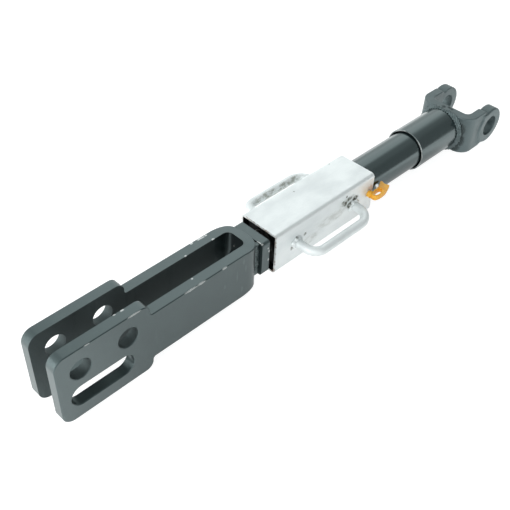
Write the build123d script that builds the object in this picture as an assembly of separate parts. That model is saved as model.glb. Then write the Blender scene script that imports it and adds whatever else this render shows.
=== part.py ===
"""Stabilizer link for a tractor's lower link: a fork, a screw with a locking sleeve, and a yoke.

The link lies along X, with the fork at -X. The origin is the centre of the yoke's pin bore,
Y runs along the pins and Z is up. All sizes are in millimetres.
"""
import os
from build123d import *

# Whole link
pin_centres = 650.0          # yoke bore to the fork's front hole, at the shortest length
extension_length = 90.0      # how far the screw lengthens the link
running_gap = 0.06           # radial gap of a turning fit
face_gap = 0.1               # axial gap between faces that turn on each other
turned_edge = 0.6            # chamfer on turned pieces
weld_toe = 0.6               # how thick a weld bead is at its thin end
past = 1.0                   # how far a cut runs past what it cuts

# Fork: one flat bar bent to a U
bar_thickness = 12.5
fork_gap = 27.5
arm_height = 61.0
head_height = 90.0
head_rise = 1.0              # the head's middle stands this far above the axis
head_length = 110.0
head_corner = 13.0
shoulder_corner_share = 0.73 # of the step between head and arm
shoulder_root_share = 0.22
bend_to_head = 236.0         # the bend's centre from the head's end
bend_inner_corner = 7.0      # inside, the bend is squarer than outside
hole_radius = 11.75
hole_end_distance = 27.3
hole_spacing = 55.0
hole_height = 19.6
slot_width = 25.0
slot_centres = 49.0
slot_end_distance = 25.0
slot_height = -15.5
bar_edge = 0.8

# Inner tube
tube_diameter = 48.3
tube_wall = 4.0

# Lock block and its welds
block_gap = 2.0              # between the block and the sleeve, on each side
block_to_bend = 4.0          # filled with weld at the crown
block_length = 12.2
block_corner = 4.0
block_edge = 1.0             # chamfer on the side that the sleeve meets
block_weld_side = 37.0       # how wide the weld fills the wedge beside the bend
block_weld_inset = 1.0       # from the block's top and bottom
tail_weld_leg = 5.0

# Screw
spigot_wall = 5.15           # of the nut's spigot, between the thread and the tube
tail_step = 5.0              # the spindle's shoulder, on each side
stop_clearance = 1.15        # between the stop collar and the tube
stop_length = 8.0
stop_gap = 0.5               # left between collar and nut at the longest length
pin_diameter = 5.0
pin_inset = 0.5              # a spring pin ends this far inside its collar
nut_length = 40.0
nut_corner = 5.0
nut_edge = 1.0
nut_spigot = 10.0
nut_to_block = 11.5
butt_weld = 4.0

# Locking sleeve and handles
sleeve_gap = 0.35            # between the nut and the sleeve, on each side
sleeve_wall = 2.5
sleeve_corner = 4.6
sleeve_inner_corner = 1.6
sleeve_to_block = 4.3
sleeve_lock_stroke = 12.5    # towards the fork, over the block
sleeve_free_stroke = 10.0    # away from the fork
handle_diameter = 11.0
handle_reach = 55.5          # grip's centre line from the axis
handle_first_foot = 33.7     # from the sleeve's fork end
handle_foot_spacing = 97.0
handle_to_latch = 27.3       # from the second foot to the latch
handle_first_bend = 14.0
handle_second_bend = 20.5
handle_weld_leg = 3.6

# Latch on the sleeve
latch_end_distance = 8.0
latch_height = 3.0
latch_pin_diameter = 8.0
latch_gap = 0.25
latch_depth = 3.6            # how far the pin reaches into the tube's slot
loop_length = 28.0
loop_width = 13.4
loop_wall = 2.5
loop_height = 7.5
loop_offset = 2.0            # between the sleeve's side and the loop
loop_shift = 10.5            # the loop's middle beyond the pin
loop_rise = 1.0              # the loop's middle above the pin
loop_tilt = 6.0
loop_end_flat = 0.4          # short straight run at the loop's ends
rivet_shift = 1.0            # the rivet beyond the loop's middle
rivet_diameter = 1.6
rivet_head = 3.8

# Outer tube and the swivel inside it
tube_gap = 1.35              # between the inner and the outer tube
outer_wall = 2.0
outer_length = 78.3
swivel_gap = 5.1             # between the collar nut and the yoke's web
journal_flange = 6.0
journal_spigot = 30.0
journal_weld_width = 3.0
washer_thickness = 2.5
ring_length = 15.0
ring_wall = 8.5
collar_gap = 2.5             # between the collar nut and the outer tube
collar_length = 11.0
seat_gap = 0.3               # round a washer, inside and outside

# Yoke
web_back = 51.5              # from the bore to the web's back
web_thickness = 13.5
strap_thickness = 12.4
strap_height = 52.0
strap_end = 10.5             # the strap's end stops this far short of the bore
strap_end_corner = 5.5
yoke_gap = 55.6
web_outer_corner = 18.0
web_inner_corner = 7.0
eye_radius = 24.6
eye_thickness = 14.6
eye_pad_length = 19.0
eye_pad_height = 44.0
eye_edge = 1.5
yoke_bore_radius = 13.5
yoke_weld_leg = 5.0
yoke_weld_rise = 1.5         # how far the weld stands above and below the tube

# Diameters and widths that follow from the tube's
tube_radius = tube_diameter / 2
tube_bore = tube_radius - tube_wall
thread_diameter = 2 * (tube_bore - spigot_wall)
tail_diameter = thread_diameter - 2 * tail_step
stop_diameter = 2 * (tube_bore - stop_clearance)
nut_side = tube_diameter
sleeve_inside = nut_side + 2 * sleeve_gap
sleeve_side = sleeve_inside / 2 + sleeve_wall
block_side = sleeve_inside - 2 * block_gap
outer_diameter = tube_diameter + 2 * (tube_gap + outer_wall)
outer_bore = outer_diameter / 2 - outer_wall
journal_neck = 2 * (outer_bore - ring_wall)
collar_diameter = 2 * (outer_bore - collar_gap)
pin_tip = -tube_radius + latch_depth

# Places along the axis
head_end = -pin_centres - hole_end_distance
bend_centre = head_end + bend_to_head
bend_radius = fork_gap / 2 + bar_thickness
bend_apex = bend_centre + bend_radius
block_start = bend_apex + block_to_bend
block_end = block_start + block_length
nut_start = block_end + nut_to_block
nut_end = nut_start + nut_length
tube_start = nut_end + butt_weld
stop_start = nut_end + nut_spigot + extension_length + stop_gap
spindle_end = stop_start + stop_length
sleeve_start = block_end + sleeve_to_block
latch_x = sleeve_start + handle_first_foot + handle_foot_spacing + handle_to_latch
sleeve_end = latch_x + latch_end_distance
outer_start = -web_back - outer_length
collar_start = -web_back - swivel_gap - collar_length
collar_middle = collar_start + collar_length / 2
ring_start = collar_start - washer_thickness - 2 * face_gap - ring_length
flange_end = ring_start - washer_thickness - 2 * face_gap
tube_end = flange_end - journal_flange - journal_weld_width


def rod(x0, x1, radius):
    """A round bar along X from x0 to x1."""
    return Pos((x0 + x1) / 2, 0, 0) * Rot(0, 90, 0) * Cylinder(radius, x1 - x0)


def tube(x0, x1, radius, bore):
    """A round tube along X from x0 to x1."""
    return rod(x0, x1, radius) - rod(x0 - past, x1 + past, bore)


def cross_pin(x, z, radius, y0, y1):
    """A round bar along Y from y0 to y1."""
    return Pos(x, (y0 + y1) / 2, z) * Rot(90, 0, 0) * Cylinder(radius, y1 - y0)


def square_bar(x0, x1, side, corner):
    """A square bar along X with rounded corners."""
    return extrude(Plane.YZ.offset(x0) * RectangleRounded(side, side, corner), amount=x1 - x0)


def rounded(face, corners):
    """The face with the corner nearest to each (x, y) rounded to its radius."""
    for x, y, radius in corners:
        face = fillet(face.vertices().sort_by_distance((x, y, 0))[0], radius)
    return face


def fork_gap_plan():
    """Plan of the gap between the arms, up to the bend's inside."""
    start = head_end - bar_thickness
    crown = bend_apex - bar_thickness
    half = fork_gap / 2
    plan = Pos((start + crown) / 2, 0) * Rectangle(crown - start, fork_gap)
    return rounded(plan, [(crown, side * half, bend_inner_corner) for side in (-1, 1)])


def fork_strap():
    """The bent bar: its plan is the U, its side view has the taller head."""
    plan = Pos((head_end + bend_centre) / 2, 0) * Rectangle(bend_to_head, 2 * bend_radius)
    plan += Pos(bend_centre, 0) * Circle(bend_radius)
    plan -= fork_gap_plan()
    top = head_rise + head_height / 2
    bottom = head_rise - head_height / 2
    arm = arm_height / 2
    shoulder = head_end + head_length
    step = (head_height - arm_height) / 2 - head_rise
    corner = shoulder_corner_share * step
    root = shoulder_root_share * step
    side = make_face(Polyline(
        (head_end, bottom), (shoulder, bottom), (shoulder, -arm), (bend_apex + past, -arm),
        (bend_apex + past, arm), (shoulder, arm), (shoulder, top), (head_end, top), close=True))
    side = rounded(side, [
        (head_end, bottom, head_corner), (head_end, top, head_corner),
        (shoulder, bottom, corner), (shoulder, top, corner),
        (shoulder, -arm, root), (shoulder, arm, root)])
    slot_x = head_end + slot_end_distance + slot_centres / 2
    side -= Pos(slot_x, slot_height) * SlotCenterToCenter(slot_centres, slot_width)
    for x in (-pin_centres, -pin_centres + hole_spacing):
        side -= Pos(x, hole_height) * Circle(hole_radius)
    strap = extrude(plan, amount=head_height, both=True)
    strap &= extrude(Plane.XZ * side, amount=head_height, both=True)
    flats = strap.faces().filter_by(Axis.Y).sort_by(Axis.Y)
    strap = chamfer(flats[0].edges() + flats[-1].edges(), bar_edge)
    return strap - rod(bend_centre, bend_apex + past, tail_diameter / 2)


def lock_block():
    """The square block that the sleeve slides over."""
    block = square_bar(block_start, block_end, block_side, block_corner)
    block = chamfer(block.faces().sort_by(Axis.X)[-1].edges(), block_edge)
    return block - rod(block_start - past, block_end + past, thread_diameter / 2)


def block_weld():
    """Weld metal that fills the wedges between the round bend and the flat block."""
    height = block_side - 2 * block_weld_inset
    reach = block_to_bend + bend_radius / 2
    wedge = Pos(block_start - reach / 2, 0, 0) * Box(reach, block_weld_side, height)
    bend = Pos(bend_centre, 0, 0) * Cylinder(bend_radius, head_height)
    return wedge - bend - rod(bend_centre, block_end, tail_diameter / 2)


def spindle():
    """The screw: a tail through the bend, a shoulder in the block and the threaded length."""
    tail = rod(bend_apex - bar_thickness, block_start, tail_diameter / 2)
    thread = rod(block_start, stop_start, thread_diameter / 2)
    end = rod(stop_start, spindle_end, tail_diameter / 2)
    return tail + thread + end - stop_pin_hole()


def tail_weld():
    """The weld bead on the tail, inside the bend."""
    inner_face = bend_apex - bar_thickness
    radius = tail_diameter / 2
    slope = tail_weld_leg / 2
    bead = Rot(0, -90, 0) * Cone(radius + slope, radius - slope, 2 * tail_weld_leg)
    inside = extrude(fork_gap_plan(), amount=head_height / 2, both=True)
    return Pos(inner_face, 0, 0) * bead & inside


def stop_pin_hole():
    """The hole through the stop collar and the spindle's end."""
    return cross_pin(stop_start + stop_length / 2, 0, pin_diameter / 2, -stop_diameter, stop_diameter)


def stop_collar():
    """Keeps the spindle in its nut at the longest length."""
    return tube(stop_start, spindle_end, stop_diameter / 2, tail_diameter / 2) - stop_pin_hole()


def stop_pin():
    """The spring pin through the stop collar."""
    reach = stop_diameter / 2 - pin_inset
    return cross_pin(stop_start + stop_length / 2, 0, pin_diameter / 2, -reach, reach)


def square_nut():
    """Square outside, threaded inside, with a spigot for the tube."""
    nut = square_bar(nut_start, nut_end, nut_side, nut_corner)
    nut = chamfer(nut.faces().sort_by(Axis.X)[0].edges(), nut_edge)
    nut += rod(nut_end, nut_end + nut_spigot, tube_bore)
    bore = thread_diameter / 2 + running_gap
    return nut - rod(nut_start - past, nut_end + nut_spigot + past, bore)


def nut_weld():
    """The butt weld between the nut and the tube, ground flush so that the sleeve passes."""
    return tube(nut_end, tube_start, tube_radius, tube_bore)


def inner_tube():
    """The painted tube, with the slot that the latch pin runs in."""
    body = tube(tube_start, tube_end, tube_radius, tube_bore)
    slot_middle = latch_x + (sleeve_free_stroke - sleeve_lock_stroke) / 2
    slot = SlotCenterToCenter(
        sleeve_lock_stroke + sleeve_free_stroke, latch_pin_diameter + 2 * latch_gap)
    cutter = extrude(Plane.XZ * Pos(slot_middle, latch_height) * slot, amount=tube_diameter)
    return body - cutter


def locking_sleeve():
    """The thin square sleeve, with the latch pin's hole in its near side."""
    sleeve = square_bar(sleeve_start, sleeve_end, 2 * sleeve_side, sleeve_corner)
    sleeve -= square_bar(sleeve_start - past, sleeve_end + past, sleeve_inside, sleeve_inner_corner)
    hole = cross_pin(latch_x, latch_height, latch_pin_diameter / 2 + latch_gap, -2 * sleeve_side, 0)
    return sleeve - hole


def near_handle():
    """A bent rod with both ends on the sleeve's near side."""
    first_x = sleeve_start + handle_first_foot
    second_x = first_x + handle_foot_spacing
    first_leg = Line((first_x, -sleeve_side), (first_x, -handle_reach + handle_first_bend))
    first_bend = JernArc(first_leg @ 1, first_leg % 1, handle_first_bend, 90)
    grip = Line(first_bend @ 1, (second_x - handle_second_bend, -handle_reach))
    second_bend = JernArc(grip @ 1, grip % 1, handle_second_bend, 90)
    second_leg = Line(second_bend @ 1, (second_x, -sleeve_side))
    path = first_leg + first_bend + grip + second_bend + second_leg
    section = Plane(origin=first_leg @ 0, z_dir=first_leg % 0) * Circle(handle_diameter / 2)
    return sweep(section, path)


def near_handle_welds():
    """The two fillet welds round the handle's feet."""
    first_x = sleeve_start + handle_first_foot
    radius = handle_diameter / 2
    bead = Cone(radius + handle_weld_leg, radius + weld_toe, handle_weld_leg)
    bead -= Cylinder(radius, 2 * handle_weld_leg)
    bead = Rot(90, 0, 0) * bead
    y = -sleeve_side - handle_weld_leg / 2
    return [Pos(first_x + step, y, 0) * bead for step in (0, handle_foot_spacing)]


def on_loop(shape):
    """Places what was modelled round the loop's middle, tilted as the loop is."""
    middle_y = -sleeve_side - loop_offset - loop_width / 2
    return Pos(latch_x + loop_shift, middle_y, latch_height + loop_rise) * Rot(0, -loop_tilt, 0) * shape


def rivet_place():
    """The rivet's place in the loop's own frame: in the middle of its back wall."""
    return Pos(rivet_shift, (loop_width - loop_wall) / 2, 0)


def clip_loop():
    """The pull loop: an upright oval band with a hub round the latch pin."""
    end_radius = (loop_width - loop_end_flat) / 2
    outer = RectangleRounded(loop_length, loop_width, end_radius)
    inner_length = loop_length - 2 * loop_wall
    inner_width = loop_width - 2 * loop_wall
    inner = RectangleRounded(inner_length, inner_width, end_radius - loop_wall)
    band = extrude(outer - inner, amount=loop_height / 2, both=True)
    band -= rivet_place() * Cylinder(rivet_diameter / 2, 2 * loop_height)
    hub_radius = latch_pin_diameter / 2 + loop_wall
    hub_end = -sleeve_side - loop_offset - loop_wall
    hub = cross_pin(latch_x, latch_height, hub_radius, hub_end, -sleeve_side - face_gap)
    clear = cross_pin(latch_x, latch_height, latch_pin_diameter / 2, hub_end - past, 0)
    return on_loop(band) + hub - clear


def clip_rivet():
    """A small rivet standing in the loop's back wall."""
    shank = Cylinder(rivet_diameter / 2, loop_height)
    head = Pos(0, 0, loop_height / 2) * Sphere(rivet_head / 2)
    head &= Pos(0, 0, loop_height / 2 + rivet_head / 2) * Box(rivet_head, rivet_head, rivet_head)
    return on_loop(rivet_place() * (shank + head))


def latch_pin():
    """The latch's steel pin, from the hub into the tube's slot."""
    hub_end = -sleeve_side - loop_offset - loop_wall
    pin = cross_pin(latch_x, latch_height, latch_pin_diameter / 2, hub_end, pin_tip)
    return chamfer(pin.edges().filter_by(GeomType.CIRCLE).sort_by(Axis.Y)[-1], turned_edge)


def swivel_journal():
    """The inner tube's end piece: spigot, flange and the neck that turns in the ring."""
    flange_start = flange_end - journal_flange
    piece = rod(tube_end - journal_spigot, flange_start, tube_bore)
    piece += rod(flange_start, flange_end, tube_radius)
    piece += rod(flange_end, collar_start + collar_length, journal_neck / 2)
    return piece - collar_pin_hole()


def journal_weld():
    """The butt weld between the tube and its end piece."""
    return tube(tube_end, tube_end + journal_weld_width, tube_radius, tube_bore)


def collar_pin_hole():
    """The hole through the collar nut and the journal."""
    return cross_pin(collar_middle, 0, pin_diameter / 2, -collar_diameter, collar_diameter)


def bearing_ring():
    """The ring that is fixed in the outer tube and carries the journal."""
    ring = tube(ring_start, ring_start + ring_length, outer_bore, journal_neck / 2 + running_gap)
    return chamfer(ring.edges().filter_by(GeomType.CIRCLE).group_by(Axis.X)[0], turned_edge)


def thrust_washer(start):
    """A washer on the journal's neck, from start on."""
    return tube(start, start + washer_thickness, outer_bore - seat_gap, journal_neck / 2 + seat_gap)


def front_thrust_washer():
    """Between the journal's flange and the ring."""
    return thrust_washer(ring_start - face_gap - washer_thickness)


def rear_thrust_washer():
    """Between the ring and the collar nut."""
    return thrust_washer(ring_start + ring_length + face_gap)


def collar_nut():
    """Holds the journal in the ring."""
    collar = tube(collar_start, collar_start + collar_length, collar_diameter / 2, journal_neck / 2)
    return collar - collar_pin_hole()


def collar_pin():
    """The spring pin that locks the collar nut."""
    reach = collar_diameter / 2 - pin_inset
    return cross_pin(collar_middle, 0, pin_diameter / 2, -reach, reach)


def outer_tube():
    """The wider tube on the yoke, with a chamfered mouth."""
    body = tube(outer_start, -web_back, outer_diameter / 2, outer_bore)
    mouth = body.edges().filter_by(GeomType.CIRCLE).group_by(Axis.X)[0]
    return chamfer(mouth, turned_edge)


def yoke():
    """The forged yoke: a bent strap with two thicker round eyes."""
    half = yoke_gap / 2
    outer_half = half + strap_thickness
    plan = Pos(-(web_back + strap_end) / 2, 0) * Rectangle(web_back - strap_end, 2 * outer_half)
    plan = rounded(plan, [(-web_back, side * outer_half, web_outer_corner) for side in (-1, 1)])
    hollow_length = web_back - web_thickness
    hollow = Pos(-hollow_length / 2, 0) * Rectangle(hollow_length, yoke_gap)
    hollow = rounded(hollow, [(-hollow_length, side * half, web_inner_corner) for side in (-1, 1)])
    blank = extrude(plan - hollow, amount=strap_height, both=True)
    strap_length = web_back - strap_end
    side_view = Pos(-strap_end - strap_length / 2, 0) * Rectangle(strap_length, strap_height)
    side_view = rounded(side_view, [
        (-strap_end, end * strap_height / 2, strap_end_corner) for end in (-1, 1)])
    body = blank & extrude(Plane.XZ * side_view, amount=2 * outer_half, both=True)
    eye_side = Circle(eye_radius) + Pos(-eye_pad_length / 2, 0) * Rectangle(eye_pad_length, eye_pad_height)
    for side in (-1, 1):
        eye = extrude(Plane.XZ.offset(-side * half) * eye_side, amount=-side * eye_thickness)
        outer_face = eye.faces().sort_by(Axis.Y)[-1 if side > 0 else 0]
        body += chamfer(outer_face.edges(), eye_edge)
    return body - cross_pin(0, 0, yoke_bore_radius, -2 * outer_half, 2 * outer_half)


def yoke_weld():
    """The fillet weld between the outer tube and the yoke's web."""
    bead = Cone(outer_diameter / 2 + weld_toe, outer_diameter / 2 + yoke_weld_leg, yoke_weld_leg)
    bead = Pos(-web_back - yoke_weld_leg / 2, 0, 0) * Rot(0, 90, 0) * bead
    bead -= rod(-web_back - outer_length, 0, outer_diameter / 2)
    reach = outer_diameter + 2 * yoke_weld_leg
    return bead & Pos(-web_back, 0, 0) * Box(reach, reach, outer_diameter + 2 * yoke_weld_rise)


def mirrored(shapes):
    """The far side's copy of what is on the near side."""
    return [mirror(shape, about=Plane.XZ) for shape in shapes]


parts = {
    "fork_strap": [fork_strap()],
    "lock_block": [lock_block()],
    "block_weld": [block_weld()],
    "spindle": [spindle()],
    "tail_weld": [tail_weld()],
    "stop_collar": [stop_collar()],
    "stop_pin": [stop_pin()],
    "square_nut": [square_nut()],
    "nut_weld": [nut_weld()],
    "inner_tube": [inner_tube()],
    "locking_sleeve": [locking_sleeve()],
    "near_handle": [near_handle()],
    "far_handle": mirrored([near_handle()]),
    "near_handle_welds": near_handle_welds(),
    "far_handle_welds": mirrored(near_handle_welds()),
    "clip_loop": [clip_loop()],
    "clip_rivet": [clip_rivet()],
    "latch_pin": [latch_pin()],
    "swivel_journal": [swivel_journal()],
    "journal_weld": [journal_weld()],
    "bearing_ring": [bearing_ring()],
    "front_thrust_washer": [front_thrust_washer()],
    "rear_thrust_washer": [rear_thrust_washer()],
    "collar_nut": [collar_nut()],
    "collar_pin": [collar_pin()],
    "outer_tube": [outer_tube()],
    "yoke": [yoke()],
    "yoke_weld": [yoke_weld()],
}

os.makedirs("parts", exist_ok=True)
for name, shapes in parts.items():
    solids = [solid for shape in shapes for solid in shape.solids()]
    whole = solids[0] if len(solids) == 1 else Compound(children=solids)
    export_step(whole, os.path.join("parts", name + ".step"))
    print(name, len(solids), "solids", round(sum(solid.volume for solid in solids)), "mm3")
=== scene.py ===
"""Finishes of the stabilizer link: paint, zinc, forging, thread, weld beads and the pull loop.

Everything is in metres in the packed model's frame: the origin is the centre of the yoke's pin bore,
the fork lies at -X, Y runs along the pins and Z is up.
"""
import math

import bmesh
import bpy
from bpy.props import FloatProperty, FloatVectorProperty, IntProperty, PointerProperty
from mathutils import Matrix, Vector, noise


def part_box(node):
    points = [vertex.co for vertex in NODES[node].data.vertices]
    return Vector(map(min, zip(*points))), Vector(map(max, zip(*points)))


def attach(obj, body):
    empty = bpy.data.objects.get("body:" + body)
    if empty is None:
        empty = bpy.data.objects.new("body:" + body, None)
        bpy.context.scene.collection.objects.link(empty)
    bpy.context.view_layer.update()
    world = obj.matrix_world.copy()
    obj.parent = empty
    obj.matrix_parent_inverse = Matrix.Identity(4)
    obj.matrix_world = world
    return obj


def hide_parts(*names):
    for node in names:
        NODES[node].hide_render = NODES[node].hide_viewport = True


bl_info = {
    "name": "Stabilizer Link",
    "version": (1, 0, 0),
    "blender": (4, 5, 0),
    "location": "3D View > Sidebar > Stabilizer Link",
    "description": "Dresses a tractor stabilizer link with paint, zinc, thread and weld beads",
    "category": "Object",
}

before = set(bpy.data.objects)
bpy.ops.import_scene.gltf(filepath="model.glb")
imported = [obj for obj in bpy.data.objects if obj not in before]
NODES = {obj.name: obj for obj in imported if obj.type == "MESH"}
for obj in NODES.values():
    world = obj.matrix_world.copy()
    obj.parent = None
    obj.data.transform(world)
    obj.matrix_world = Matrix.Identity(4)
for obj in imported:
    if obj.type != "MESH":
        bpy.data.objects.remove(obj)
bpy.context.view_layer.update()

MM = 0.001

# Camera of the photograph, in the part's frame
CAMERA_PLACE = Vector((-0.88300, -0.45716, 0.59750))
CAMERA_RIGHT = Vector((0.714416, -0.699244, 0.026089))
CAMERA_UP = Vector((0.469270, 0.506437, 0.723403))
CAMERA_LENS = 57.153
CAMERA_SHIFT = (0.018264, 0.028765)

# Where along X the floor lights the link's two ends more, and the fork's share of it
YOKE_LIGHT_FROM, YOKE_LIGHT_TO = -0.08, -0.02
FORK_LIGHT_FROM, FORK_LIGHT_TO = -0.54, -0.64
FORK_LIGHT_SHARE = 0.6

# The floor: half its side, its grey to the light and its grey to the camera
FLOOR_HALF = 4.0
FLOOR_GREY, FLOOR_SEEN_GREY = 0.62, 0.35

# Soft lamps, each a place and a size, which look at the link's middle
SIDE_LAMP = ((-2.0, 0.2, 0.5), 1.2)
BACK_LAMP = ((0.5, 0.8, 1.1), 1.4)
LINK_MIDDLE = Vector((-0.33, 0.0, 0.0))

# Places that the finishes refer to
STRAP_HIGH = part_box("fork_strap")[1]
SLEEVE_LOW, SLEEVE_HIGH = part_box("locking_sleeve")
BLOCK_LOW, BLOCK_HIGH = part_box("lock_block")
HANDLE_WELDS_LOW, HANDLE_WELDS_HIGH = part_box("near_handle_welds")
MOUTH_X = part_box("outer_tube")[0].x

# Where the fork's tall heads end, whose lower corners rest on the floor
HEAD_END_X = -0.5671

# Vertices this near are one: in a CAD node, in a turned shape
CAD_MERGE, TURNED_MERGE = 0.01 * MM, 0.002 * MM


# Node building

def add(tree, kind, inputs=None, **settings):
    """Adds a node, with its inputs set to values or linked to sockets."""
    node = tree.nodes.new(kind)
    for name, value in settings.items():
        setattr(node, name, value)
    for name, value in (inputs or {}).items():
        if isinstance(value, bpy.types.NodeSocket):
            tree.links.new(value, node.inputs[name])
        else:
            node.inputs[name].default_value = value
    return node


def maths(tree, operation, first, second=0.0):
    """The result of a Math node."""
    return add(tree, "ShaderNodeMath", {0: first, 1: second}, operation=operation).outputs[0]


def times(tree, first, second):
    """The product of two values."""
    return maths(tree, "MULTIPLY", first, second)


def vector_node(tree, operation, first, second):
    """The vector that a Vector Math node puts out."""
    return add(tree, "ShaderNodeVectorMath", {0: first, 1: second}, operation=operation).outputs[0]


def ramp(tree, value, low, high, out_low=0.0, out_high=1.0):
    """The value, brought smoothly from low..high to out_low..out_high."""
    node = add(tree, "ShaderNodeMapRange", {
        "Value": value, "From Min": low, "From Max": high, "To Min": out_low, "To Max": out_high},
        interpolation_type="SMOOTHSTEP")
    return node.outputs["Result"]


def mix(tree, factor, first, second):
    """A colour between first and second."""
    node = add(tree, "ShaderNodeMix", {"Factor": factor}, data_type="RGBA")
    for name, value in (("A", first), ("B", second)):
        socket = next(s for s in node.inputs if s.name == name and s.type == "RGBA")
        if isinstance(value, bpy.types.NodeSocket):
            tree.links.new(value, socket)
        else:
            socket.default_value = tuple(value) + (1.0,) * (4 - len(value))
    return next(s for s in node.outputs if s.type == "RGBA")


def new_group(name, output, inputs):
    """A shader node group with float and vector inputs: its tree, what it is given and its output."""
    tree = bpy.data.node_groups.new(name, "ShaderNodeTree")
    for title, default in inputs.items():
        kind = "NodeSocketVector" if isinstance(default, tuple) else "NodeSocketFloat"
        socket = tree.interface.new_socket(title, in_out="INPUT", socket_type=kind)
        socket.default_value = default
    tree.interface.new_socket(output, in_out="OUTPUT", socket_type="NodeSocketFloat")
    source = tree.nodes.new("NodeGroupInput")
    sink = tree.nodes.new("NodeGroupOutput")
    return tree, source.outputs, sink.inputs[0]


def object_place(tree):
    """The shaded point in the piece's own coordinates."""
    return add(tree, "ShaderNodeTexCoord").outputs["Object"]


def axes(tree, kind="Object"):
    """The shaded point's x, y and z, in the piece's own coordinates or in another kind."""
    place = add(tree, "ShaderNodeTexCoord").outputs[kind]
    return add(tree, "ShaderNodeSeparateXYZ", {0: place}).outputs


# A spot's edge: the scale of its grain and how softly it ends
SPOT_GRAIN, SPOT_SOFTNESS = 1700.0, 0.15


def group_patches():
    """Cloudy patches: a mask from a noise of the given scale, above a threshold."""
    tree, given, out = new_group("Patches", "Mask", {
        "Scale": 50.0, "Low": 0.45, "High": 0.6, "Stretch": (1.0, 1.0, 1.0), "Roughness": 0.6})
    place = vector_node(tree, "MULTIPLY", object_place(tree), given["Stretch"])
    cloud = add(tree, "ShaderNodeTexNoise", {
        "Vector": place, "Scale": given["Scale"], "Detail": 6.0, "Roughness": given["Roughness"]})
    tree.links.new(ramp(tree, cloud.outputs["Fac"], given["Low"], given["High"]), out)
    return tree


def group_spot():
    """A ragged spot round a centre, with its half sizes along X, Y and Z."""
    tree, given, out = new_group("Spot", "Mask", {
        "Centre": (0.0, 0.0, 0.0), "Size": (1.0, 1.0, 1.0), "Ragged": 1.0})
    place = object_place(tree)
    away = vector_node(tree, "SUBTRACT", place, given["Centre"])
    away = vector_node(tree, "DIVIDE", away, given["Size"])
    distance = add(tree, "ShaderNodeVectorMath", {0: away}, operation="LENGTH").outputs["Value"]
    grain = add(tree, "ShaderNodeTexNoise", {"Vector": place, "Scale": SPOT_GRAIN, "Detail": 3.0})
    centred = maths(tree, "SUBTRACT", grain.outputs["Fac"], 0.5)
    shifted = maths(tree, "ADD", distance, times(tree, centred, given["Ragged"]))
    tree.links.new(ramp(tree, shifted, 1.0 - SPOT_SOFTNESS, 1.0 + SPOT_SOFTNESS, 1.0, 0.0), out)
    return tree


def group_surface():
    """Unevenness of a coated surface: a fine peel on top of slow waves."""
    tree, given, out = new_group("Surface", "Height", {
        "Peel Scale": 700.0, "Wave Scale": 60.0, "Wave Share": 0.5})
    place = object_place(tree)
    peel, wave = (
        add(tree, "ShaderNodeTexNoise", {"Vector": place, "Scale": given[scale], "Detail": detail})
        for scale, detail in (("Peel Scale", 3.0), ("Wave Scale", 2.0)))
    waves = times(tree, wave.outputs["Fac"], given["Wave Share"])
    tree.links.new(maths(tree, "ADD", peel.outputs["Fac"], waves), out)
    return tree


GROUP_MAKERS = {"Patches": group_patches, "Spot": group_spot, "Surface": group_surface}


def use_group(tree, name, inputs):
    """Places the shared group with its own values, and gives its one output."""
    group = bpy.data.node_groups.get(name) or GROUP_MAKERS[name]()
    node = add(tree, "ShaderNodeGroup", node_tree=group)
    for title, value in inputs.items():
        node.inputs[title].default_value = value
    return node.outputs[0]


def patches(tree, scale, low, high, stretch=(1.0, 1.0, 1.0), roughness=0.6):
    """A mask of cloudy patches, from none where the noise is at low to all where it is at high."""
    return use_group(tree, "Patches", {
        "Scale": scale, "Low": low, "High": high, "Stretch": stretch, "Roughness": roughness})


def skin(tree, peel, wave, share):
    """An uneven skin's height: the scales of its fine peel and slow waves, and the waves' share."""
    return use_group(tree, "Surface", {"Peel Scale": peel, "Wave Scale": wave, "Wave Share": share})


def empty_tree(owner):
    """The node tree of a material or a world, emptied."""
    owner.use_nodes = True
    owner.node_tree.nodes.clear()
    return owner.node_tree


def new_material(name, fixed):
    """A material with nothing but its output and its shader, which has its fixed inputs."""
    material = bpy.data.materials.new(name)
    tree = empty_tree(material)
    shader = add(tree, "ShaderNodeBsdfPrincipled", fixed)
    add(tree, "ShaderNodeOutputMaterial", {"Surface": shader.outputs["BSDF"]})
    return material, tree, shader


def largest(tree, masks):
    """The largest of the values."""
    whole = masks[0]
    for mask in masks[1:]:
        whole = maths(tree, "MAXIMUM", whole, mask)
    return whole


def spots(tree, rows, share):
    """One mask for several ragged spots, times a share or another mask."""
    masks = [use_group(tree, "Spot", {
        "Centre": [value * MM for value in row[:3]], "Size": [value * MM for value in row[3:6]],
        "Ragged": row[6]}) for row in rows]
    return times(tree, largest(tree, masks), share)


def cover(tree, shader, colour, rough, height, depth):
    """Links a finish's colour, roughness and height, which is as deep as depth, to its shader."""
    relief = add(tree, "ShaderNodeBump", {"Height": height, "Distance": depth})
    tree.links.new(colour, shader.inputs["Base Color"])
    tree.links.new(rough, shader.inputs["Roughness"])
    tree.links.new(relief.outputs["Normal"], shader.inputs["Normal"])


def split_rays(tree, output, to_light, to_camera):
    """Shows one shader to the camera and the other to all other rays."""
    seen = add(tree, "ShaderNodeLightPath").outputs["Is Camera Ray"]
    mixed = add(tree, "ShaderNodeMixShader", {0: seen, 1: to_light.outputs[0], 2: to_camera.outputs[0]})
    add(tree, output, {"Surface": mixed.outputs[0]})


# Finishes

def side_spots(y, rows):
    """Spots on one side of the sleeve, from rows of x, z, half sizes along X and Z, and raggedness."""
    return tuple((x, y, z, half_x, 2.0, half_z, ragged) for x, z, half_x, half_z, ragged in rows)


# Holes through the fork's plates: centre's x and z, and radius, in millimetres
FORK_HOLES = ((-650.0, 19.6, 11.75), (-595.0, 19.6, 11.75))

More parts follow.
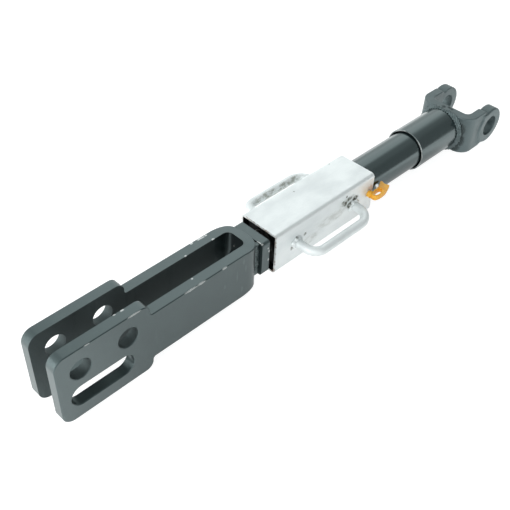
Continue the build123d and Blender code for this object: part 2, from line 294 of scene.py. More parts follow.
# How far before the gap's end its dull paint begins to shine, and shines in full
DULL_UNTIL, BRIGHT_FROM = 25 * MM, 12 * MM

# Bare steel on the fork where paint is chipped, partly painted edge highlights, the last two painted
# glints in the bend: a centre, half sizes along X, Y and Z, and raggedness, in millimetres
FORK_CHIPS_AND_GLINTS = (
    (-591.2, -14.6, 46.0, 1.9, 1.1, 1.0, 2.6), (-600.1, -14.3, 46.0, 1.3, 0.8, 0.8, 2.6),
    (-586.0, -26.0, 45.4, 7.5, 0.8, 0.8, 1.5), (-470.4, 24.6, 30.5, 2.0, 1.2, 1.0, 2.6),
    (-459.2, 24.3, 30.5, 3.2, 1.3, 1.0, 2.8), (-455.0, 23.9, 30.5, 2.0, 1.0, 1.0, 2.8),
    (-450.9, 24.0, 30.5, 1.6, 1.1, 1.0, 2.6), (-449.1, 14.2, 30.4, 1.8, 1.2, 1.0, 2.0),
    (-487.8, 14.2, 30.4, 1.5, 1.2, 1.0, 2.0), (-515.5, -26.1, 29.8, 8.0, 1.0, 0.9, 1.9),
    (-502.0, -26.1, 29.8, 5.0, 1.1, 1.0, 2.0), (-470.0, -26.1, 29.8, 3.4, 1.0, 1.0, 1.8),
    (-505.1, -15.4, 30.5, 1.1, 0.9, 0.8, 2.2), (-640.0, -26.2, 45.4, 3.0, 0.5, 0.5, 1.4),
    (-427.6, 11.7, 14.2, 1.4, 0.9, 1.0, 1.6), (-427.6, 4.6, 14.1, 1.4, 0.8, 0.8, 1.6),
)

# Faint light streaks on the near arm
FORK_STREAKS = (
    (-442.7, -26.2, 21.3, 1.6, 2.0, 3.6, 2.0), (-439.4, -25.6, 10.5, 1.0, 2.0, 5.0, 1.8),
    (-469.7, -26.2, 2.8, 1.2, 2.0, 3.0, 2.0), (-444.4, -26.2, -17.4, 1.4, 2.0, 4.0, 2.0),
    (-452.0, -26.2, 6.0, 0.9, 2.0, 7.0, 2.0),
)

# Bare corners and bright specks of the lock block; the first three are painted highlights on its top
# edges
BLOCK_CHIPS_AND_GLINTS = (
    (-411.0, -16.5, 22.4, 1.0, 3.2, 0.7, 1.6), (-410.0, -20.4, 21.6, 1.3, 1.2, 1.0, 1.8),
    (-399.0, -21.5, 20.0, 0.7, 2.6, 1.4, 1.8), (-400.5, -22.4, 8.0, 1.0, 1.0, 1.4, 2.2),
    (-402.0, -22.4, 13.0, 0.9, 1.0, 1.0, 2.2), (-401.0, -22.4, -4.0, 0.9, 1.0, 1.6, 2.2),
)

# Burnt zinc and spatter round the handles' feet, on the sleeve's sides
WELD_STAINS = side_spots(-27.0, (
    (-278.0, 19.3, 1.6, 1.4, 2.0), (-271.5, 3.5, 4.4, 4.4, 2.4), (-279.9, 10.0, 4.2, 3.2, 2.4),
    (-284.0, 13.7, 2.4, 1.8, 2.4), (-273.0, 13.5, 4.6, 3.0, 2.6), (-261.2, 9.2, 5.0, 3.0, 2.4),
    (-256.7, -8.8, 2.2, 2.0, 2.2), (-362.1, 6.5, 2.4, 2.2, 2.2), (-368.5, -4.6, 2.0, 2.6, 2.2),
    (-347.5, 4.1, 2.2, 2.2, 2.2),
)) + side_spots(27.0, (
    (-274.0, 2.0, 9.0, 7.0, 2.4), (-364.0, 2.0, 8.0, 7.0, 2.4),
)) + (
    (-323.2, 14.8, 27.0, 1.0, 0.8, 1.0, 1.6), (-253.8, 22.7, 27.0, 1.0, 0.8, 1.0, 1.6),
)

# Dirt on the far handle's inner side
HANDLE_DIRT = (
    (-330.0, 50.5, 2.5, 24.0, 4.0, 6.0, 2.2), (-292.0, 50.5, 2.5, 20.0, 4.0, 6.0, 2.2),
)

# Grey smudges on the sleeve's near side
SLEEVE_SMUDGES = side_spots(-27.0, (
    (-281.0, 9.0, 10.0, 8.0, 1.9), (-270.0, 12.0, 8.0, 6.0, 1.9), (-303.0, 1.0, 22.0, 7.0, 2.2),
    (-337.4, -9.0, 12.0, 6.0, 2.2),
))

# Painted reflection and shade of the orange pull loop on the zinc beside it
LOOP_REFLECTIONS = side_spots(-27.0, (
    (-233.6, 7.5, 4.2, 6.0, 0.8), (-238.5, 1.5, 3.6, 3.6, 0.9),
))

# The pull loop from above, in millimetres: its outside, its hole, where its tail thins and its stud
LOOP_OUTSIDE = (
    (-234.6, -30.6), (-228.5, -30.0), (-220.8, -29.4), (-215.4, -27.0), (-211.6, -25.0), (-209.9, -27.0),
    (-211.4, -31.8), (-209.4, -36.4), (-211.8, -38.6), (-218.5, -40.4), (-225.5, -41.1), (-232.0, -40.8),
    (-237.0, -38.7), (-238.4, -34.8), (-237.2, -31.8),
)
LOOP_HOLE = (
    (-233.8, -33.6), (-229.6, -32.6), (-225.0, -32.0), (-221.4, -32.8), (-221.6, -35.8), (-226.2, -38.2),
    (-232.0, -38.5), (-235.6, -36.9),
)
LOOP_ROUND_X = -238.4
LOOP_SLOPE_X = -220.0
LOOP_TAIL_X = -209.4
LOOP_STUD = (-225.1, -30.1)

# Dark, rough spots with spatter beads on the yoke's web, beside the weld
YOKE_DARK_SPOTS = (
    (-49.0, -29.0, 8.0, 6.0, 4.5, 9.0, 1.9), (-49.0, -30.0, -7.0, 6.0, 5.0, 9.0, 2.0),
    (-49.0, -25.0, -18.0, 6.0, 6.5, 6.0, 2.0), (-44.7, 5.7, 26.0, 2.4, 2.6, 2.0, 2.6),
    (-41.8, -1.0, 26.0, 2.0, 2.6, 2.0, 2.6), (-42.5, -5.6, 26.0, 1.6, 1.8, 2.0, 2.6),
)


def inside_hole(tree, x, z, row):
    """A mask of a hole through the fork's plates, its wall included."""
    centre_x, centre_z, radius = (value * MM for value in row)
    along = maths(tree, "SUBTRACT", x, centre_x)
    up = maths(tree, "SUBTRACT", z, centre_z)
    squares = maths(tree, "ADD", times(tree, along, along), times(tree, up, up))
    distance = maths(tree, "SQRT", squares)
    return ramp(tree, distance, radius + 0.1 * MM, radius + 0.25 * MM, 1.0, 0.0)


def inside_fork(tree, half_gap, gap_end):
    """Masks of the plates' inner faces and holes, which get painted shade, and of those of them that are
    dull too.
    """
    x, y, z = axes(tree)
    from_middle = maths(tree, "ABSOLUTE", y)
    between = ramp(tree, from_middle, half_gap + 0.05 * MM, half_gap + 0.3 * MM, 1.0, 0.0)
    before_end = ramp(tree, x, gap_end + 0.05 * MM, gap_end + 0.3 * MM, 1.0, 0.0)
    between = times(tree, between, before_end)
    holes = largest(tree, [inside_hole(tree, x, z, row) for row in FORK_HOLES])
    straight = ramp(tree, x, gap_end - DULL_UNTIL, gap_end - BRIGHT_FROM, 1.0, 0.0)
    arms = times(tree, between, straight)
    return largest(tree, [between, holes]), largest(tree, [arms, holes])


def sheen(look):
    """The paint's strong bluish reflection, as inputs of a shader."""
    return {"IOR": look.paint_ior, "Specular IOR Level": look.paint_sheen,
            "Specular Tint": (*look.sheen_colour, 1.0)}


def paint_material(name, look, chip_and_glint_rows, smears=0.5, streaks=(), gap=None):
    """Sprayed paint, smeared, streaked and chipped, with painted glints among its bare marks, and in a
    gap dull and darkened with painted shade: its half width and its end.
    """
    material, tree, shader = new_material(name, sheen(look))
    cloud = patches(tree, 38.0, 0.3, 0.75)
    smear = patches(tree, 60.0, 0.52, 0.75, (1.0, 1.0, 0.22), 0.7)
    colour = mix(tree, cloud, look.paint_dark, look.paint_light)
    smeared = times(tree, smear, 0.35 * smears)
    colour = mix(tree, smeared, colour, look.smear_colour)
    rough = ramp(tree, smear, 0.0, 1.0, look.paint_roughness, look.paint_roughness + 0.12)
    if gap:
        inner, dull = inside_fork(tree, *gap)
        # Painted shade: the plates' inner faces and the holes' walls are darkened where shade falls
        # between the plates.
        colour = mix(tree, inner, colour, look.gap_shade_colour)
        rough = maths(tree, "ADD", rough, times(tree, dull, 0.35))
    if streaks:
        faint = spots(tree, streaks, 0.22)
        colour = mix(tree, faint, colour, look.smear_colour)
    # Chipped paint shows bare steel; some of these marks are painted glints and edge highlights.
    if chip_and_glint_rows:
        bare = spots(tree, chip_and_glint_rows, 0.9)
        colour = mix(tree, bare, colour, look.bare_steel)
        tree.links.new(times(tree, bare, 0.6), shader.inputs["Metallic"])
    cover(tree, shader, colour, rough, skin(tree, 520.0, 45.0, 1.6), look.paint_peel)
    return material


def tube_paint(name, look, mouth):
    """The tubes' smoother paint, worn to bare metal along the outer tube's mouth, whose pale rim is
    partly a painted highlight.
    """
    material, tree, shader = new_material(name, sheen(look))
    cloud = patches(tree, 30.0, 0.3, 0.8, (0.3, 1.0, 1.0))
    colour = mix(tree, cloud, look.paint_dark, look.paint_light)
    if mouth:
        # Painted highlight: the mouth's rim is made paler, as worn bare metal and as the light along its
        # edge.
        x = axes(tree)["X"]
        near_mouth = ramp(tree, x, MOUTH_X + 0.2 * MM, MOUTH_X + 0.7 * MM, 0.75, 0.0)
        worn = patches(tree, 70.0, 0.42, 0.62)
        bare = times(tree, near_mouth, ramp(tree, worn, 0.0, 1.0, 0.15, 0.9))
        colour = mix(tree, bare, colour, look.bare_steel)
        tree.links.new(times(tree, bare, 0.3), shader.inputs["Metallic"])
    rough = ramp(tree, cloud, 0.0, 1.0, 0.17, 0.23)
    cover(tree, shader, colour, rough, skin(tree, 420.0, 25.0, 0.8), 0.5 * look.paint_peel)
    return material


def forged_material(name, look, stains=()):
    """Paint over a rough forging: pitted, with scale under it and duller than the bar's."""
    material, tree, shader = new_material(name, sheen(look))
    cloud = patches(tree, 55.0, 0.3, 0.7)
    colour = mix(tree, cloud, look.forged_dark, look.forged_light)
    pits = patches(tree, 420.0, 0.60, 0.72)
    colour = mix(tree, times(tree, pits, 0.8), colour, look.scale_colour)
    rough = ramp(tree, cloud, 0.0, 1.0, 0.40, 0.55)
    height = maths(tree, "SUBTRACT", skin(tree, 330.0, 80.0, 2.2), times(tree, pits, 0.8))
    if stains:
        # Dark, rough spots with spatter beads.
        burnt = spots(tree, stains, 0.95)
        colour = mix(tree, burnt, colour, look.scale_colour)
        rough = maths(tree, "ADD", rough, times(tree, burnt, 0.35))
        spatter = patches(tree, 520.0, 0.45, 0.6)
        beads = times(tree, times(tree, spatter, burnt), 3.0)
        height = maths(tree, "ADD", height, beads)
    cover(tree, shader, colour, rough, height, 5.0 * look.paint_peel)
    return material


def zinc_material(name, look, stains=(), smudges=(), loop_reflections=(), sleeve=False, duller=0.0, soot=0.4):
    """Bright zinc plating: cloudy, bluish, sooty and burnt beside welds, with a painted reflection of
    the pull loop, and grease with painted shade inside the sleeve.
    """
    material, tree, shader = new_material(name, {"Metallic": look.zinc_metallic})
    cloud = patches(tree, 42.0, 0.35, 0.68, (0.6, 1.0, 1.0), 0.65)
    streak = patches(tree, 170.0, 0.45, 0.8, (0.25, 1.0, 1.0), 0.75)
    colour = mix(tree, cloud, look.zinc_light, look.zinc_cloud)
    colour = mix(tree, times(tree, streak, 0.12), colour, look.zinc_stain)
    low = look.zinc_roughness + duller
    rough = ramp(tree, cloud, 0.0, 1.0, low, low + 0.1)
    if smudges:
        wiped = patches(tree, 150.0, 0.35, 0.65, (0.7, 1.0, 1.3))
        smudged = spots(tree, smudges, ramp(tree, wiped, 0.0, 1.0, 0.1, soot))
        colour = mix(tree, smudged, colour, look.zinc_smudge)
    if stains:
        flecks = patches(tree, 260.0, 0.42, 0.62)
        burnt = spots(tree, stains, ramp(tree, flecks, 0.0, 1.0, 0.45, 1.0))
        colour = mix(tree, burnt, colour, look.zinc_burn)
        rough = maths(tree, "ADD", rough, times(tree, burnt, 0.2))
    if loop_reflections:
        # Painted reflection: the loop's orange and its shade are painted onto the zinc.
        reflected_loop = spots(tree, loop_reflections, 0.4)
        colour = mix(tree, reflected_loop, colour, look.loop_reflection_colour)
    if sleeve:
        # Painted shade: the sleeve's inner faces are darkened as grease and as the shade inside it; its
        # mouth is rusty.
        x, y, z = axes(tree)
        across = largest(tree, [maths(tree, "ABSOLUTE", axis) for axis in (y, z)])
        inside = ramp(tree, across, SLEEVE_HIGH.y - 2.45 * MM, SLEEVE_HIGH.y - 2.0 * MM, 1.0, 0.0)
        colour = mix(tree, inside, colour, look.grease_and_shade)
        at_mouth = ramp(tree, x, SLEEVE_LOW.x, SLEEVE_LOW.x + 1.2 * MM, 1.0, 0.0)
        rust = patches(tree, 240.0, 0.45, 0.65)
        rusty = times(tree, times(tree, at_mouth, rust), 0.6)
        colour = mix(tree, rusty, colour, look.rust)
    cover(tree, shader, colour, rough, skin(tree, 900.0, 90.0, 1.0), 0.03 * MM)
    return material


def steel_material(name, colour_dark, colour_light, roughness):
    """Turned and greased steel."""
    material, tree, shader = new_material(name, {"Metallic": 0.85})
    film = patches(tree, 120.0, 0.35, 0.65)
    colour = mix(tree, film, colour_dark, colour_light)
    rough = ramp(tree, film, 0.0, 1.0, roughness, roughness + 0.15)
    cover(tree, shader, colour, rough, skin(tree, 1500.0, 300.0, 0.6), 0.02 * MM)
    return material


def plastic_material(name, look):
    """Moulded plastic, slightly glossy, with a little light passing into it."""
    material, tree, shader = new_material(name, {
        "Subsurface Weight": 0.05, "Subsurface Scale": 2.0 * MM})
    cloud = patches(tree, 130.0, 0.3, 0.7)
    colour = mix(tree, cloud, look.clip_dark, look.clip_light)
    rough = ramp(tree, cloud, 0.0, 1.0, 0.28, 0.38)
    cover(tree, shader, colour, rough, skin(tree, 800.0, 200.0, 1.0), 0.03 * MM)
    return material


def finish_nodes(material, *names):
    """Gives CAD nodes a finish through their material slots."""
    for name in names:
        node = NODES[name]
        if not node.material_slots:
            node.data.materials.append(material)
        for slot in node.material_slots:
            slot.material = material


# Mesh helpers

def new_object(name, data):
    """An object in the scene."""
    made = bpy.data.objects.new(name, data)
    bpy.context.scene.collection.objects.link(made)
    return made


def mesh_of(name, bm):
    """A mesh of what the bmesh holds, which is freed."""
    mesh = bpy.data.meshes.new(name)
    bm.to_mesh(mesh)
    bm.free()
    return mesh


def finished_piece(name, bm, material, body):
    """A smooth piece that rides on a body and takes the given finish."""
    for face in bm.faces:
        face.smooth = True
    mesh = mesh_of(name, bm)
    stored_normals = mesh.attributes.get("custom_normal")
    if stored_normals:
        mesh.attributes.remove(stored_normals)
    piece = new_object(name, mesh)
    mesh.materials.append(material)
    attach(piece, body)
    return piece


def copy_of(node_name):
    """A merged copy of a CAD node's triangles."""
    bm = bmesh.new()
    bm.from_mesh(NODES[node_name].data)
    bmesh.ops.remove_doubles(bm, verts=bm.verts, dist=CAD_MERGE)
    return bm


def softened(name, bm, voxel, passes):
    """The shape remade with soft edges, as a casting, a forging or weld metal has them."""
    mesh = mesh_of(name + "_rough", bm)
    rough = new_object(name + "_rough", mesh)
    remesh = rough.modifiers.new("Remesh", "REMESH")
    remesh.mode = "VOXEL"
    remesh.voxel_size = voxel
    bpy.context.view_layer.update()
    evaluated = rough.evaluated_get(bpy.context.evaluated_depsgraph_get())
    result = bmesh.new()
    result.from_mesh(evaluated.to_mesh())
    evaluated.to_mesh_clear()
    bpy.data.objects.remove(rough)
    bpy.data.meshes.remove(mesh)
    for _ in range(passes):
        bmesh.ops.smooth_vert(
            result, verts=result.verts, factor=0.5, use_axis_x=True, use_axis_y=True, use_axis_z=True)
    return result


def push(bm, height_at):
    """Moves each vertex along its normal by the height at its place."""
    bm.normal_update()
    moves = [(vert, vert.normal * height_at(vert.co)) for vert in bm.verts]
    for vert, move in moves:
        vert.co += move


def lumps(scale, seed):
    """A smooth random height of about -1 to 1, with lumps of the given size in metres."""
    offset = Vector((seed * 3.1, seed * 1.7, seed * 2.3))
    return lambda place: noise.noise(place / scale + offset)


def closed_curve(points, steps):
    """A smooth closed curve through the points, with steps points from each to the next."""
    count = len(points)
    curve = []
    for number in range(count):
        before, start, end, after = (Vector(points[(number + k - 1) % count]) for k in range(4))
        for step in range(steps):
            t = step / steps
            curve.append(0.5 * (
                2 * start + (end - before) * t + (2 * before - 5 * start + 4 * end - after) * t ** 2
                + (3 * start - before - 3 * end + after) * t ** 3))
    return curve


def bar_along_x(bm, x0, x1, radius, segments):
    """Adds a closed round bar along X."""
    turn = Matrix.Translation(((x0 + x1) / 2, 0, 0)) @ Matrix.Rotation(math.pi / 2, 4, "Y")
    bmesh.ops.create_cone(
        bm, cap_ends=True, segments=segments, radius1=radius, radius2=radius, depth=x1 - x0, matrix=turn)


def chain(bm, places, closed=False):
    """Adds vertices with edges from each to the next: the vertices and the edges."""
    verts = [bm.verts.new(place) for place in places]
    nexts = verts[1:] + verts[:1] if closed else verts[1:]
    return verts, [bm.edges.new(pair) for pair in zip(verts, nexts)]


# Settings

def setting(kind, **limits):
    """Makes a kind of setting: each has a name, a description and a default that a user may change."""
    return lambda name, description, default: kind(
        name=name, description=description, default=default, **limits)


length = setting(FloatProperty, min=0.0, unit="LENGTH", precision=5)
place_x = setting(FloatProperty, unit="LENGTH", precision=5)
colour = setting(FloatVectorProperty, size=3, min=0.0, max=1.0, subtype="COLOR")
factor = setting(FloatProperty, min=0.0, max=1.0, subtype="FACTOR")
brightness = setting(FloatProperty, min=0.0)
power = setting(FloatProperty, min=0.0, unit="POWER")
refraction = setting(FloatProperty, min=1.0, max=3.0)
exponent = setting(FloatProperty, min=2.0, max=8.0)
steps = setting(IntProperty, min=12, max=64)
rounds = setting(IntProperty, min=0, max=30)


class LinkFinishes(bpy.types.PropertyGroup):
    """Colours and gloss of the link's finishes."""

    paint_dark: colour("Paint, dark", "The paint's darker patches", (0.007, 0.012, 0.013))
    paint_light: colour("Paint, light", "The paint's lighter patches", (0.012, 0.020, 0.021))
    # Painted shade: this colour darkens the plates' inner faces and the holes, where shade falls.
    gap_shade_colour: colour("Between plates", "The thin dull paint between the fork's plates",
                       (0.003, 0.004, 0.0045))
    smear_colour: colour("Smear", "Dust and rub marks on the paint", (0.15, 0.18, 0.18))
    paint_roughness: factor("Paint roughness", "How dull the paint is", 0.30)
    paint_sheen: factor("Paint sheen", "How strongly the paint reflects", 1.0)
    paint_ior: refraction("Paint's refraction", "The paint's index of refraction", 1.62)
    sheen_colour: colour("Sheen colour", "Tint of the paint's reflection", (0.80, 0.99, 1.0))
    paint_peel: length("Paint peel", "Depth of the paint's unevenness", 0.00004)
    forged_light: colour("Forging, light", "The forged yoke's lighter patches", (0.054, 0.070, 0.074))
    forged_dark: colour("Forging, dark", "The forged yoke's darker patches", (0.018, 0.026, 0.028))
    scale_colour: colour("Scale", "Scale and burnt paint", (0.008, 0.010, 0.010))
    # Bare steel, also used for painted glints and edge highlights.
    bare_steel: colour("Bare steel", "Steel where paint is chipped off", (0.62, 0.63, 0.62))
    zinc_light: colour("Zinc, light", "The zinc plating's main colour", (0.86, 0.89, 0.89))
    zinc_cloud: colour("Zinc, cloudy", "The zinc plating's duller patches", (0.81, 0.84, 0.845))
    zinc_stain: colour("Zinc streaks", "Fine streaks on the zinc", (0.50, 0.53, 0.53))
    # Painted reflection of the orange pull loop on the zinc beside it.
    loop_reflection_colour: colour("Tinted zinc", "Zinc beside the pull loop", (0.62, 0.40, 0.30))
    zinc_smudge: colour("Smudged zinc", "Soot wiped over the zinc", (0.36, 0.37, 0.33))
    zinc_burn: colour("Burnt zinc", "Zinc beside a weld", (0.14, 0.14, 0.11))
    zinc_roughness: factor("Zinc roughness", "How dull the zinc is", 0.50)
    zinc_metallic: factor("Zinc metal", "How metallic the zinc looks", 0.75)
    rust: colour("Rust", "Rust on cut edges", (0.24, 0.13, 0.07))
    # Grease and painted shade on the sleeve's inner faces.
    grease_and_shade: colour("Grease", "Grease inside the sleeve", (0.02, 0.02, 0.02))
    clip_dark: colour("Loop, dark", "The pull loop's darker colour", (0.84, 0.36, 0.02))
    clip_light: colour("Loop, light", "The pull loop's lighter colour", (0.93, 0.50, 0.05))


class LinkThread(bpy.types.PropertyGroup):
    """Sizes of the spindle's trapezoidal thread."""

    pitch: length("Pitch", "Advance in one turn", 6.0 * MM)
    depth: length("Depth", "From crest to root", 3.2 * MM)
    steps: steps("Steps", "Faces in one turn", 32)


class LinkWelds(bpy.types.PropertyGroup):
    """Sizes of the weld beads."""

    voxel: length("Fineness", "Size of the beads' faces", 0.55 * MM)
    lump: length("Lumps", "How far a bead's lumps stand out", 0.9 * MM)
    ripple: length("Ripples", "Height of a bead's ripples", 0.35 * MM)


class LinkYoke(bpy.types.PropertyGroup):
    """The forging's softness."""

    voxel: length("Fineness", "Size of the forging's faces", 0.75 * MM)
    softness: rounds("Softness", "Rounds of smoothing", 2)
    dent: length("Dents", "Depth of the forging's dents", 0.15 * MM)


class LinkFork(bpy.types.PropertyGroup):
    """The bend's form outside, and the gap between the plates, which its paint needs."""

    bend_start: place_x("Bend start", "Where the bend begins", -441.3 * MM)
    half_gap: length("Half gap", "From the link's axis to a plate's inner face", 13.75 * MM)
    gap_end: place_x("Gap's end", "Where the gap ends in the bend", -427.55 * MM)
    droop: length("Droop", "How far the bend's outer edges are drawn in", 1.6 * MM)
    squareness: exponent("Squareness", "2 for a round bend, more for a squarer one", 3.0)


class LinkLoop(bpy.types.PropertyGroup):
    """The pull loop's moulding and its stud."""

    rim_height: length("Rim height", "Height of the loop's rim above the axis, at its middle", 6.0 * MM)
    depth: length("Depth", "Height of the loop's wall", 6.6 * MM)
    tail_depth: length("Tail", "Thickness of the tail's end", 1.4 * MM)
    tilt: factor("Tilt", "How much the rim rises towards its tail", 0.05)
    hub: length("Hub", "Radius of the hub round the latch pin", 4.4 * MM)
    stud_top: length("Stud", "Height of the stud's head above the axis", 12.0 * MM)
    stud_head: length("Stud head", "Radius of the stud's head", 2.1 * MM)
    voxel: length("Fineness", "Size of the loop's faces", 0.30 * MM)
    softness: rounds("Softness", "Rounds of smoothing", 4)


class LinkStudio(bpy.types.PropertyGroup):
    """Light of the scene."""

    sky: brightness("Walls", "Brightness at the left and behind", 1.0)
    ceiling: brightness("Ceiling", "Brightness overhead", 0.30)
    strip: brightness("Strip", "Brightness of the strip light in front", 0.5)
    room: brightness("Room", "Brightness of the room in front", 0.35)
    side: power("Side lamp", "Power of the lamp at the left", 22.0)
    back: power("Back lamp", "Power of the lamp behind the link", 2.6)
    floor_glow: factor("Floor glow", "How much of the white floor shows without light", 0.90)
    floor_light: factor("Floor light", "How much the floor lights the link from below", 0.47)
    end_light: factor("End light", "How much more of it there is at the link's ends", 0.45)


SETTINGS = {
    "link_finishes": LinkFinishes, "link_thread": LinkThread, "link_welds": LinkWelds,
    "link_fork": LinkFork, "link_yoke": LinkYoke, "link_loop": LinkLoop, "link_studio": LinkStudio,
}


# Operators

class StageOperator(bpy.types.Operator):
    """Makes the camera, the floor, the sky and the lamps"""

    bl_idname = "stabilizer_link.stage"
    bl_label = "Stage"

    def execute(self, context):
        scene = context.scene
        studio = scene.link_studio
        scene.view_settings.view_transform = "Standard"
        self.make_camera(scene)
        self.make_sky(scene, studio)
        self.make_floor(studio)
        self.make_lamp("side_lamp", studio.side, *SIDE_LAMP)
        self.make_lamp("back_lamp", studio.back, *BACK_LAMP)
        return {"FINISHED"}

    def make_camera(self, scene):
        """Puts the camera where the photograph's was."""
        data = bpy.data.cameras.new("photo_camera")
        data.lens = CAMERA_LENS
        data.shift_x, data.shift_y = CAMERA_SHIFT
        data.clip_start = 0.01
        data.clip_end = 50.0
        camera = new_object("photo_camera", data)
        back = CAMERA_RIGHT.cross(CAMERA_UP)
        turn = Matrix((CAMERA_RIGHT, CAMERA_UP, back)).transposed().to_4x4()
        camera.matrix_world = Matrix.Translation(CAMERA_PLACE) @ turn
        scene.camera = camera

    def make_sky(self, scene, studio):
        """White to the camera; to all else bright walls, a strip light and a dark room in front."""
        world = bpy.data.worlds.new("studio_sky")
        scene.world = world
        tree = empty_tree(world)
        x, y, z = axes(tree, "Generated")
        behind = ramp(tree, y, -0.15, 0.30)
        left = ramp(tree, x, 0.05, -0.40)
        walls = ramp(tree, maths(tree, "MAXIMUM", behind, left), 0.0, 1.0, studio.room, studio.sky)
        strip = ramp(tree, z, 0.58, 0.64, 0.0, studio.strip)
        lit = maths(tree, "MAXIMUM", walls, strip)
        overhead = ramp(tree, z, 0.80, 0.92)
        dimmed = times(tree, overhead, maths(tree, "SUBTRACT", studio.ceiling, lit))
        strength = maths(tree, "ADD", lit, dimmed)
        light = add(tree, "ShaderNodeBackground", {"Color": (0.94, 1.0, 1.0, 1.0), "Strength": strength})
        white = add(tree, "ShaderNodeBackground", {"Color": (1.0, 1.0, 1.0, 1.0), "Strength": 1.0})
        split_rays(tree, "ShaderNodeOutputWorld", light, white)

    def make_floor(self, studio):
        """A white floor, tilted a little so that the link's fork and its yoke's weld rest on it."""
        fork_x, fork_z = HEAD_END_X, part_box("fork_strap")[0].z
        tube_x, tube_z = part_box("yoke_weld")[0].x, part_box("yoke_weld")[0].z
        slope = (tube_z - fork_z) / (tube_x - fork_x)
        bm = bmesh.new()
        bmesh.ops.create_grid(bm, x_segments=2, y_segments=2, size=FLOOR_HALF)
        turn = Matrix.Rotation(-math.atan(slope), 4, "Y")
        bmesh.ops.transform(bm, matrix=Matrix.Translation((fork_x, 0, fork_z)) @ turn, verts=bm.verts)
        floor = new_object("studio_floor", mesh_of("studio_floor", bm))
        material = bpy.data.materials.new("studio_floor")
        tree = empty_tree(material)
        x = axes(tree)["X"]
        at_yoke = ramp(tree, x, YOKE_LIGHT_FROM, YOKE_LIGHT_TO, 0.0, studio.end_light)
        at_fork = ramp(tree, x, FORK_LIGHT_FROM, FORK_LIGHT_TO, 0.0, FORK_LIGHT_SHARE * studio.end_light)
        ends = maths(tree, "MAXIMUM", at_yoke, at_fork)
        below = self.glowing_grey(tree, FLOOR_GREY, maths(tree, "ADD", ends, studio.floor_light))
        seen = self.glowing_grey(tree, FLOOR_SEEN_GREY, studio.floor_glow)
        split_rays(tree, "ShaderNodeOutputMaterial", below, seen)
        floor.data.materials.append(material)

    def glowing_grey(self, tree, grey, strength):
        """A dull grey that also glows white."""
        dull = add(tree, "ShaderNodeBsdfDiffuse", {"Color": (grey, grey, grey, 1.0)})
        glow = add(tree, "ShaderNodeEmission", {"Strength": strength})
        return add(tree, "ShaderNodeAddShader", {0: dull.outputs[0], 1: glow.outputs[0]})

    def make_lamp(self, name, watts, place, size):
        """A square soft lamp that looks at the link's middle."""
        data = bpy.data.lights.new(name, "AREA")
        data.shape = "SQUARE"
        data.size = size
        data.energy = watts
        lamp = new_object(name, data)
        lamp.location = place
        aim = LINK_MIDDLE - lamp.location
        lamp.rotation_euler = aim.to_track_quat("-Z", "Y").to_euler()


# The bend in plan, as shares of its outer radius: where its gap ends and where its outside begins
GAP_REACH, OUTSIDE_REACH = 0.5, 0.85

# Above and below this height a vertex is at the bend's upper or lower edge
EDGE_Z = 20 * MM


class ForkOperator(bpy.types.Operator):
    """Bends the fork's outer edges in and paints it and its lock block, with chipped paint and painted
    glints
    """

    bl_idname = "stabilizer_link.fork"
    bl_label = "Fork and lock block"

    def execute(self, context):
        scene = context.scene
        finishes = scene.link_finishes
        fork = scene.link_fork
        gap = (fork.half_gap, fork.gap_end)
        paint = paint_material("fork_paint", finishes, FORK_CHIPS_AND_GLINTS, streaks=FORK_STREAKS, gap=gap)
        bm = copy_of("fork_strap")
        self.draw_edges_in(bm, fork)
        piece = finished_piece("bent_fork", bm, paint, "fork_body")
        for polygon in piece.data.polygons:
            polygon.use_smooth = max(abs(part) for part in polygon.normal) < 0.9999
        piece.data.set_sharp_from_angle(angle=math.radians(25))
        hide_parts("fork_strap")
        finish_nodes(paint_material("block_paint", finishes, BLOCK_CHIPS_AND_GLINTS, smears=1.0), "lock_block")
        return {"FINISHED"}

    def draw_edges_in(self, bm, fork):
        """Brings the bend's top and bottom in at its crown, and squares its outside in plan."""
        reach = STRAP_HIGH.y
        power = fork.squareness
        for vert in bm.verts:
            past = (vert.co.x - fork.bend_start) / reach
            if past <= 0.0:
                continue
            across = vert.co.y / reach
            outwards = math.hypot(past, across)
            share = min(past * 2.0, 1.0) * max(outwards - GAP_REACH, 0.0) * 2.0
            if abs(vert.co.z) > EDGE_Z:
                vert.co.z -= math.copysign(fork.droop * share, vert.co.z)
            if outwards > OUTSIDE_REACH:
                powers = (past / outwards) ** power + abs(across / outwards) ** power
                squared = powers ** (-1 / power)
                vert.co.x = fork.bend_start + past * squared * reach
                vert.co.y = across * squared * reach


# Shares of the thread's pitch that a flank and the flat crest take
FLANK_SHARE, CREST_SHARE = 0.13, 0.37

# How much thinner the spindle's plain ends are
SPINDLE_STEP = 5.0 * MM


